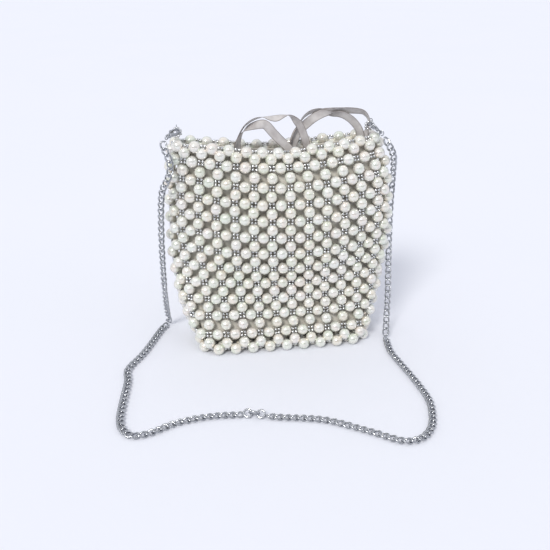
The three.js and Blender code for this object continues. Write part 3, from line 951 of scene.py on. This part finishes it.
@dataclass
class RibbonPulls:
    """Two doubled satin ribbon loops that draw the mouth shut."""

    width: float = 8.2
    thickness: float = 0.34
    cup: float = 0.35
    steps: int = 96

    def strand(self, route: RibbonRoute) -> bpy.types.Object:
        """One strand, turning along its way and slightly cupped."""
        line = smooth_route(route.stops, self.steps + 1)
        centres = [Vector(p[:3]) for p in line]
        frames = []
        for index, centre in enumerate(centres):
            ahead, behind = centres[min(index + 1, self.steps)], centres[max(index - 1, 0)]
            tangent = (ahead - behind).normalized()
            level = AHEAD.cross(tangent).normalized()
            turn = math.radians(line[index][3])
            across = level * math.cos(turn) + tangent.cross(level) * math.sin(turn)
            frames.append((centre, across, tangent.cross(across)))

        def place(along: float, side: float) -> Vector:
            """Point of the ribbon from its shares along and across."""
            spot, s = along * self.steps, side * 2 - 1
            index = min(int(spot), self.steps - 1)
            centre, across, face = (a.lerp(b, spot - index)
                                    for a, b in zip(frames[index], frames[index + 1]))
            ripple = 0.12 * math.sin(along * 31) * s
            return (centre + across * s * self.width / 2
                    + face * (self.cup * (s * s - 0.4) + ripple)) * MM

        length = route_length([s[:3] for s in route.stops]) * MM
        bm = cloth_grid(self.steps, 8, place, (length, self.width * MM), edges=True)
        piece = thickened(new_object(route.name, to_mesh(bm, route.name)), self.thickness)
        RIBBON_SATIN.on(piece)
        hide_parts(route.node)
        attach(piece, route.body)
        [c * MM for c in route.stops[0][:3]]
        LOG.info("%s: %.0f mm long", piece.name, length / MM)
        return piece

    def build(self) -> list[bpy.types.Object]:
        """Makes every strand."""
        return [self.strand(route) for route in RIBBONS]


# ---------------------------------------------------------------- strap

@dataclass
class JumpRing:
    """A round wire ring, cut once and closed."""

    name: str
    body: str
    node: str
    slot: str
    centre: Vector
    normal: Vector
    radius: float
    wire: float
    cut: float = 2.0
    finish: Finish = CHAIN_STEEL

    def build(self) -> bpy.types.Object:
        """Spins the wire round the ring and leaves the cut open by a hair."""
        bm = bmesh.new()
        wire = bmesh.ops.create_circle(
            bm, cap_ends=True, segments=10, radius=self.wire * MM,
            matrix=Matrix.Translation((self.radius * MM, 0, 0)) @ Matrix.Rotation(
                math.pi / 2, 4, "X"))
        start = wire["verts"] + list({e for v in wire["verts"] for e in v.link_edges}) + list(
            bm.faces)
        bmesh.ops.spin(bm, geom=start, cent=(0, 0, 0), axis=(0, 0, 1), dvec=(0, 0, 0),
                       angle=math.radians(360 - self.cut), steps=40)
        bmesh.ops.remove_doubles(bm, verts=bm.verts, dist=0.001 * MM)
        bmesh.ops.recalc_face_normals(bm, faces=bm.faces)
        bmesh.ops.transform(bm, matrix=facing(self.normal, self.centre * MM, 2.2),
                            verts=bm.verts)
        ring = new_object(self.name, to_mesh(bm, self.name))
        self.finish.on(ring)
        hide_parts(self.node)
        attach(ring, self.body)
        return ring


@dataclass(frozen=True)
class ChainRoute:
    """One stretch of chain: route and the way its flat side faces at a few shares of its length."""

    name: str
    body: str
    node: str
    points: tuple[tuple[float, float, float], ...]
    flats: tuple[tuple[float, tuple[float, float, float]], ...]
    far_end: str
    slack: float = 0.05


def on_ground(points: Iterable[Point], height: float) -> tuple[tuple[float, float, float], ...]:
    """Route points at one height above the ground."""
    return tuple((x, y, height) for x, y in points)


GROUND_LINE = 2.1
CHAIN_ROUTES = (
    ChainRoute("chain_links_drop_left", "strap", "chain_drop_left", (
        (-107, -15.5, 205.5), (-107.2, -16.5, 202), (-104, -16.5, 194), (-101.5, -16, 184),
        (-104.5, -15, 172), (-111, -8, 155), (-113.5, 0, 108), (-113.5, 10, 60),
        (-112.5, 22, 30), (-110.5, 38, 3.4)),
        ((0, (-0.3, -0.9, 0.2)), (0.3, (-0.6, -0.8, 0)), (0.55, (-0.75, -0.65, 0)),
         (0.85, (-0.6, -0.7, 0.3)), (1, (0, -0.5, 0.85))), "object", 0.10),
    ChainRoute("chain_links_drop_right", "strap", "chain_drop_right", (
        (97, -12, 200.5), (100.5, -13, 194.5), (107, -10, 183), (110.2, -2, 163), (112, 5, 130),
        (112, 2, 84), (110, -10, 40), (104, -29, 3.4)),
        ((0, (0.2, -0.95, 0.1)), (0.5, (0.3, -0.95, 0)), (0.85, (0.3, -0.9, 0.3)),
         (1, (0, -0.4, 0.9))), "object", 0.08),
    ChainRoute("chain_links_ground_left", "strap_loop", "chain_floor_left", on_ground((
        (-112.5, 34), (-119, 23), (-136, -21), (-152, -53), (-152, -72), (-155, -100),
        (-158, -130), (-157, -147), (-151, -158), (-145, -161), (-132, -158), (-112, -148),
        (-84, -143), (-57.4, -144.8)), GROUND_LINE),
        ((0, (0.3, -0.2, 0.9)), (0.06, (0, 0, 1)), (1, (0, 0, 1))), "object"),
    ChainRoute("chain_links_ground_right", "strap_loop", "chain_floor_right", on_ground((
        (-37, -150.1), (-26, -154), (-7, -158.5), (12, -165), (30, -177), (46, -189),
        (61, -201), (70, -204.5), (82, -201.5), (93, -190), (101, -171), (106, -148),
        (105, -117), (102, -87), (99.5, -60), (103, -33.5)), GROUND_LINE),
        ((0, (0, 0, 1)), (0.94, (0, 0, 1)), (1, (0, 0.3, 0.9))), "object"),
)


@dataclass
class CurbChain:
    """Curb chain: oval wire links, each twisted so that the chain lies flat."""

    pitch: float = 6.4
    width: float = 7.2
    wire: float = 1.8
    twist_deg: float = 43.0

    def link_shape(self) -> bpy.types.Mesh:
        """One link, its length along X and its flat side along Z."""
        half_length = (self.pitch + self.wire) / 2
        half_width = (self.width - self.wire) / 2
        bm = bmesh.new()
        wire = bmesh.ops.create_circle(
            bm, cap_ends=False, segments=6, radius=0.5,
            matrix=Matrix.Translation((10, 0, 0)) @ Matrix.Rotation(math.pi / 2, 4, "X"))
        start = wire["verts"] + list({e for v in wire["verts"] for e in v.link_edges})
        bmesh.ops.spin(bm, geom=start, cent=(0, 0, 0), axis=(0, 0, 1), dvec=(0, 0, 0),
                       angle=2 * math.pi, steps=14, use_merge=True)
        bmesh.ops.remove_doubles(bm, verts=bm.verts, dist=0.001)
        for vert in bm.verts:
            turn = math.atan2(vert.co.y, vert.co.x)
            out = math.hypot(vert.co.x, vert.co.y) - 10
            self.bend(vert, turn, out * self.wire, vert.co.z * self.wire,
                      half_length, half_width)
        bmesh.ops.recalc_face_normals(bm, faces=bm.faces)
        return to_mesh(bm, "link")

    def bend(self, vert: bmesh.types.BMVert, turn: float, out: float, up: float,
             half_length: float, half_width: float) -> None:
        """Moves one point of a round ring to its place on the twisted oval.

        Args:
            vert: Point to move.
            turn: Angle of the point round the ring.
            out: Distance outward from the wire's middle, in millimetres.
            up: Distance upward from the wire's middle, in millimetres.
            half_length: Half of the oval's middle line along the chain.
            half_width: Half of it across the chain.
        """
        power = 0.78
        cos, sin = math.cos(turn), math.sin(turn)
        x = half_length * math.copysign(abs(cos) ** power, cos)
        y = half_width * math.copysign(abs(sin) ** power, sin)
        outward = Vector((cos * half_width, sin * half_length, 0)).normalized()
        flat = Vector((x, y, 0)) + outward * out + Vector((0, 0, up))
        angle = math.radians(self.twist_deg) * x / half_length
        vert.co = (Matrix.Rotation(angle, 3, "X") @ flat) * MM

    def flat_at(self, route: ChainRoute, share: float) -> Vector:
        """The way the chain's flat side faces at a share of its length."""
        for (low, a), (high, b) in zip(route.flats, route.flats[1:]):
            if share <= high:
                return Vector(a).lerp(Vector(b), (share - low) / (high - low)).normalized()
        return Vector(route.flats[-1][1]).normalized()

    def stretch(self, route: ChainRoute, link: bpy.types.Mesh) -> bpy.types.Object:
        """One stretch of links along its route."""
        long = route_length(route.points)
        count = max(round(long / self.pitch), 2)
        line = smooth_route(route.points, count + 1) * MM
        dice = random.Random(route.name)
        places = []
        for index in range(count):
            start, end = Vector(line[index]), Vector(line[index + 1])
            along = (end - start).normalized()
            flat = self.flat_at(route, (index + 0.5) / count)
            flat = (flat - along * flat.dot(along)).normalized()
            side = flat.cross(along)
            roll = Matrix.Rotation(dice.gauss(0, route.slack), 4, "X")
            stretchy = Matrix.Diagonal(((end - start).length / (self.pitch * MM), 1, 1, 1))
            middle = (start + end) / 2
            places.append(Place(turned(along, side, flat, middle) @ roll @ stretchy,
                                dice.random()))
        piece = strewn(route.name, link, places)
        CHAIN_STEEL.on(piece)
        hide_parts(route.node)
        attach(piece, route.body)
        LOG.info("%s: %d links, %.0f mm", piece.name, count, long)
        return piece


@dataclass(frozen=True)
class Corner:
    """One end of the strap: where it hooks on at the mouth, and how its ring and clasp are turned."""

    side: str
    x: float
    ring_turn: float
    clasp_turn: float


@dataclass
class CornerFitting:
    """Bead loop, ring, lobster clasp and tail ring at one end of the strap."""

    corner: Corner
    loop_height: float = 210.6
    loop_radius: float = 3.6
    loop_seed: float = 2.8
    ring_radius: float = 3.5
    ring_wire: float = 0.45
    ring_offset: float = 1.2
    scale: float = 1.25
    length: float = 10.94
    tail_radius: float = 2.2
    tail_wire: float = 0.5
    hook_origin: tuple[float, float] = (0.2, 2.15)

    def __post_init__(self) -> None:
        """Works out the fitting's directions."""
        hang = Vector((0, -0.94, -0.34)).normalized()
        turn = Matrix.Rotation(math.radians(self.corner.ring_turn), 3, hang)
        self.tangent = turn @ Vector((0, -hang.z, hang.y))
        self.normal = turn @ Vector((1, 0, 0))
        swing = math.radians(self.corner.clasp_turn)
        self.way = hang * math.cos(swing) + self.normal * math.sin(swing)
        top = Vector((self.corner.x, 0, self.loop_height + self.loop_radius))
        self.ring_centre = top + hang * self.ring_offset
        self.hook = top + hang * (self.ring_offset + self.ring_radius)
        self.tail = self.hook + self.way * (self.length + self.tail_radius)

    def frame(self) -> Matrix:
        """Placement of the clasp: its hook at the local origin and its tail along -Y."""
        y = -self.way
        z = (self.tangent - y * self.tangent.dot(y)).normalized()
        place = turned(y.cross(z), y, z, self.hook * MM)
        origin = Matrix.Translation((-self.hook_origin[0], -self.hook_origin[1], 0))
        return place @ Matrix.Scale(self.scale * MM, 4) @ origin

    def bead_loop(self) -> bpy.types.Object:
        """Seed beads on a thread loop at the mouth corner."""
        net = PearlNet(BagForm(), seed=self.loop_seed, seed_length=2.5)
        shape, dice = net.seed_shape(), random.Random(self.corner.side)
        centre = Vector((self.corner.x, 0, self.loop_height))
        places = []
        for index in range(8):
            angle = (index + 0.5) / 8 * 2 * math.pi
            out = Vector((math.cos(angle), 0, math.sin(angle)))
            along = Vector((-out.z, 0, out.x))
            places.append(Place(facing(along, (centre + out * self.loop_radius) * MM,
                                       dice.random()), dice.random()))
        loop = strewn(f"seed_loop_{self.corner.side}", shape, places)
        SEED_SILVER.on(loop)
        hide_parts(f"bead_loop_{self.corner.side}")
        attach(loop, "bag")
        return loop

    def skin(self, bm: bmesh.types.BMesh,
             stops: Sequence[tuple[float, float, float, float, float]]) -> None:
        """Sweeps an oval section through stops of x, y, angle, half width and half depth."""
        last = None
        for x, y, angle, wide, deep in stops:
            place = (Matrix.Translation((x, y, 0)) @ Matrix.Rotation(math.radians(angle), 4, "Z")
                     @ Matrix.Rotation(math.pi / 2, 4, "X")
                     @ Matrix.Diagonal((wide, deep, 1, 1)))
            ring = bmesh.ops.create_circle(bm, cap_ends=False, segments=14, radius=1,
                                           matrix=place)["verts"]
            edges = list({e for v in ring for e in v.link_edges})
            if last is None:
                bmesh.ops.contextual_create(bm, geom=edges)
            else:
                bmesh.ops.bridge_loops(bm, edges=last + edges)
            last = edges
        bmesh.ops.contextual_create(bm, geom=last)

    def clasp_body(self) -> bpy.types.Object:
        """Hook, bow and tail eye, fused and smoothed as one casting."""
        bm = bmesh.new()
        self.skin(bm, ((0.4, -5.6, 0, 1.5, 0.85), (0.3, -4.9, 6, 2.1, 1.05),
                       (-0.1, -4.0, 16, 2.2, 1.15), (-1.1, -3.0, 24, 1.45, 1.1),
                       (-1.95, -1.9, 10, 0.85, 1.05), (-2.2, -0.4, 0, 0.75, 1.0),
                       (-2.25, 1.2, 0, 0.74, 1.0), (-1.9, 2.45, -32, 0.74, 1.0),
                       (-1.0, 3.35, -60, 0.74, 1.0), (0.2, 3.65, -90, 0.74, 1.0),
                       (1.4, 3.35, -120, 0.74, 1.0), (2.3, 2.45, -148, 0.72, 0.98),
                       (2.65, 1.55, -172, 0.66, 0.92), (2.66, 1.1, -180, 0.5, 0.75)))
        eye = bmesh.ops.create_circle(
            bm, cap_ends=False, segments=10, radius=0.62,
            matrix=Matrix.Translation((1.58, -6.6, 0)) @ Matrix.Rotation(math.pi / 2, 4, "X"))
        start = eye["verts"] + list({e for v in eye["verts"] for e in v.link_edges})
        bmesh.ops.spin(bm, geom=start, cent=(0, -6.6, 0), axis=(0, 0, 1), dvec=(0, 0, 0),
                       angle=2 * math.pi, steps=24, use_merge=True)
        bmesh.ops.recalc_face_normals(bm, faces=bm.faces)
        bmesh.ops.transform(bm, matrix=self.frame(), verts=bm.verts)
        body = new_object(f"lobster_clasp_{self.corner.side}", to_mesh(bm, "clasp"))
        fuse = body.modifiers.new("fuse", "REMESH")
        fuse.mode = "VOXEL"
        fuse.voxel_size = 0.2 * MM
        ease = body.modifiers.new("ease", "SMOOTH")
        ease.iterations = 4
        ease.factor = 0.5
        return baked(body)

    def clasp_lever(self) -> bpy.types.Object:
        """The sprung lever that closes the hook, with a thumb rest."""
        bm = bmesh.new()
        outline = ((1.95, -2.9), (3.35, -2.9), (3.35, -1.7), (4.1, -1.35), (4.1, -0.75),
                   (3.35, -0.45), (3.3, 0.82), (2.0, 0.82))
        corners = [bm.verts.new((x, y, -0.82)) for x, y in outline]
        face = bm.faces.new(corners)
        raised = bmesh.ops.extrude_face_region(bm, geom=[face])["geom"]
        bmesh.ops.translate(bm, vec=(0, 0, 1.64),
                            verts=[g for g in raised if isinstance(g, bmesh.types.BMVert)])
        bmesh.ops.recalc_face_normals(bm, faces=bm.faces)
        bmesh.ops.bevel(bm, geom=list(bm.edges), offset=0.2, segments=2, profile=0.5,
                        affect="EDGES", material=-1)
        bmesh.ops.transform(bm, matrix=self.frame(), verts=bm.verts)
        return new_object(f"clasp_thumb_lever_{self.corner.side}", to_mesh(bm, "lever"))

    def build(self) -> list[bpy.types.Object]:
        """Makes every part of the fitting; returns those that hang on the chain."""
        side = self.corner.side
        self.bead_loop()
        ring = JumpRing(f"split_ring_{side}", "strap", f"corner_ring_{side}", "silver_metal",
                        self.ring_centre, self.normal, self.ring_radius, self.ring_wire).build()
        body, lever = self.clasp_body(), self.clasp_lever()
        parts = ((body, f"clasp_body_{side}", "strap"), (lever, f"clasp_lever_{side}",
                                                         f"lever_{side}"))
        for piece, node, rides in parts:
            CAST_ALLOY.on(piece)
            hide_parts(node)
            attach(piece, rides)
            LOG.info("%s: %d faces", piece.name, len(piece.data.polygons))
        across = Vector(self.frame().col[0][:3]).normalized()
        tail = JumpRing(f"clasp_tail_ring_{side}", "strap", f"tail_ring_{side}", "silver_metal",
                        self.tail, across, self.tail_radius, self.tail_wire).build()
        return [ring, body, lever, tail]


CORNERS = (Corner("left", -94, 0, -45), Corner("right", 85, -30, 50))


@dataclass
class Strap:
    """Chain strap: a fitting at each corner, two lengths of chain, and three rings that join them."""

    joiner_centre: tuple[float, float] = (-46.9, -147.0)
    joiner_way: tuple[float, float, float] = (0.965, -0.262, 0)
    spacing: float = 5.6
    joiner_wire: float = 0.9

    def joiners(self) -> list[bpy.types.Object]:
        """Three jump rings that lean on each other where the two lengths meet."""
        way = Vector(self.joiner_way).normalized()
        rings = []
        for name, step, radius, lean in (("left", -1, 3.3, 1), ("middle", 0, 4.2, -1),
                                         ("right", 1, 3.3, 1)):
            height = radius * math.sqrt(0.5) + self.joiner_wire + 0.1
            centre = Vector((*self.joiner_centre, height)) + way * step * self.spacing
            normal = Matrix.Rotation(lean * math.pi / 4, 3, way) @ Vector((0, 0, 1))
            rings.append(JumpRing(f"jump_ring_{name}", "strap_loop", f"joiner_ring_{name}",
                                  "silver_metal", centre, normal, radius,
                                  self.joiner_wire).build())
        return rings

    def declare(self, route: ChainRoute,
                riders: Sequence[bpy.types.Object]) -> None:
        """Works out a stretch of chain's line and length and lists the pieces on it, but keeps none of
        it.
        """
        line = smooth_route(route.points, 120) * MM
        route_length(route.points) * MM
        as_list(riders)

    def build(self) -> None:
        """Makes the fittings, the chain and the joiners."""
        chain = CurbChain()
        link = chain.link_shape()
        riders = {corner.side: CornerFitting(corner).build() for corner in CORNERS}
        joiners = self.joiners()
        for route in CHAIN_ROUTES:
            piece = chain.stretch(route, link)
            side = "left" if route.name.endswith("left") else "right"
            if route.body == "strap":
                on_it = riders[side]
            else:
                on_it = joiners if side == "left" else []
            self.declare(route, on_it)


# ---------------------------------------------------------------- ground, light, camera

@dataclass
class Studio:
    """Pale table, soft light and the camera. Places are in metres."""

    eye: tuple[float, float, float] = (-0.1204, -0.6831, 0.3611)
    look: tuple[float, float, float] = (0.1539, 0.9065, -0.3932)
    lens: float = 49.75
    ground_size: float = 12.0

    def camera(self) -> None:
        """Camera ahead of the bag, a little to the left and above it."""
        data = bpy.data.cameras.new("camera")
        data.sensor_width = 36
        data.lens = self.lens
        data.clip_start = 0.01
        data.clip_end = 100
        camera = new_object("camera", data)
        camera.matrix_world = (Matrix.Translation(self.eye)
                               @ Vector(self.look).to_track_quat("-Z", "Y").to_matrix().to_4x4())
        bpy.context.scene.camera = camera

    def ground(self) -> None:
        """The table top."""
        bm = bmesh.new()
        bmesh.ops.create_grid(bm, x_segments=4, y_segments=4, size=self.ground_size)
        bmesh.ops.translate(bm, vec=(0, 0, -0.0002), verts=bm.verts)
        floor = new_object("table_top", to_mesh(bm, "table_top"))
        GROUND.on(floor)

    def lamp(self, name: str, place: Point, spread_deg: float, power: float,
             colour: str) -> None:
        """A broad far light that shines from a place towards the origin."""
        data = bpy.data.lights.new(name, "SUN")
        data.angle = math.radians(spread_deg)
        data.energy = power
        data.color = linear(colour)[:3]
        lamp = new_object(name, data)
        lamp.matrix_world = (Matrix.Translation(place) @ (-Vector(place)).to_track_quat(
            "-Z", "Y").to_matrix().to_4x4())

    def sky(self) -> None:
        """Even pale surroundings, dimmer towards the horizon so that gloss has something to show."""
        world = bpy.data.worlds.new("surroundings")
        world.use_nodes = True
        bpy.context.scene.world = world
        tree = world.node_tree
        tree.nodes.clear()
        way = add_node(tree, "ShaderNodeTexCoord").outputs["Generated"]
        split = add_node(tree, "ShaderNodeSeparateXYZ", {0: way})
        ramp = add_node(tree, "ShaderNodeValToRGB", {"Fac": split.outputs["Z"]})
        set_stops(ramp.color_ramp, [(0.0, linear("B9BDC5")), (0.3, linear("D9DDE5")),
                                    (0.6, linear("E4E7EE")), (1.0, linear("F2F3F8"))])
        band = add_node(tree, "ShaderNodeValToRGB", {"Fac": split.outputs["Z"]})
        set_stops(band.color_ramp, [(0.0, linear("000000")), (0.08, linear("FFFFFF")),
                                    (0.3, linear("FFFFFF")), (0.38, linear("000000"))])
        ahead = add_node(tree, "ShaderNodeMapRange", {0: split.outputs["Y"], 1: -0.62, 2: -0.8})
        share = add_node(tree, "ShaderNodeMath", {0: band.outputs[0], 1: ahead.outputs[0]},
                         operation="MULTIPLY")
        colour = add_node(tree, "ShaderNodeMix", {
            0: share.outputs[0], 6: ramp.outputs[0], 7: linear("24262B")}, data_type="RGBA")
        light = add_node(tree, "ShaderNodeBackground", {"Color": colour.outputs[2],
                                                        "Strength": 1.0})
        add_node(tree, "ShaderNodeOutputWorld", {"Surface": light.outputs[0]})

    def build(self) -> None:
        """Sets the whole studio up."""
        self.camera()
        self.ground()
        self.sky()
        self.lamp("key", (-0.62, -1.0, 1.05), 16, 1.6, "FFFDF8")
        bpy.context.scene.view_settings.view_transform = "Standard"


def main() -> None:
    """Builds the studio, the strap and the bag, and logs some pieces as they are made."""
    logging.basicConfig(level=logging.INFO, format="%(name)s %(message)s")
    form = BagForm()
    Studio().build()
    Strap().build()
    PearlNet(form).build()
    LiningPouch(form).build()
    DrawstringCasing(form).build()
    RibbonPulls().build()


if __name__ == "__main__":
    main()
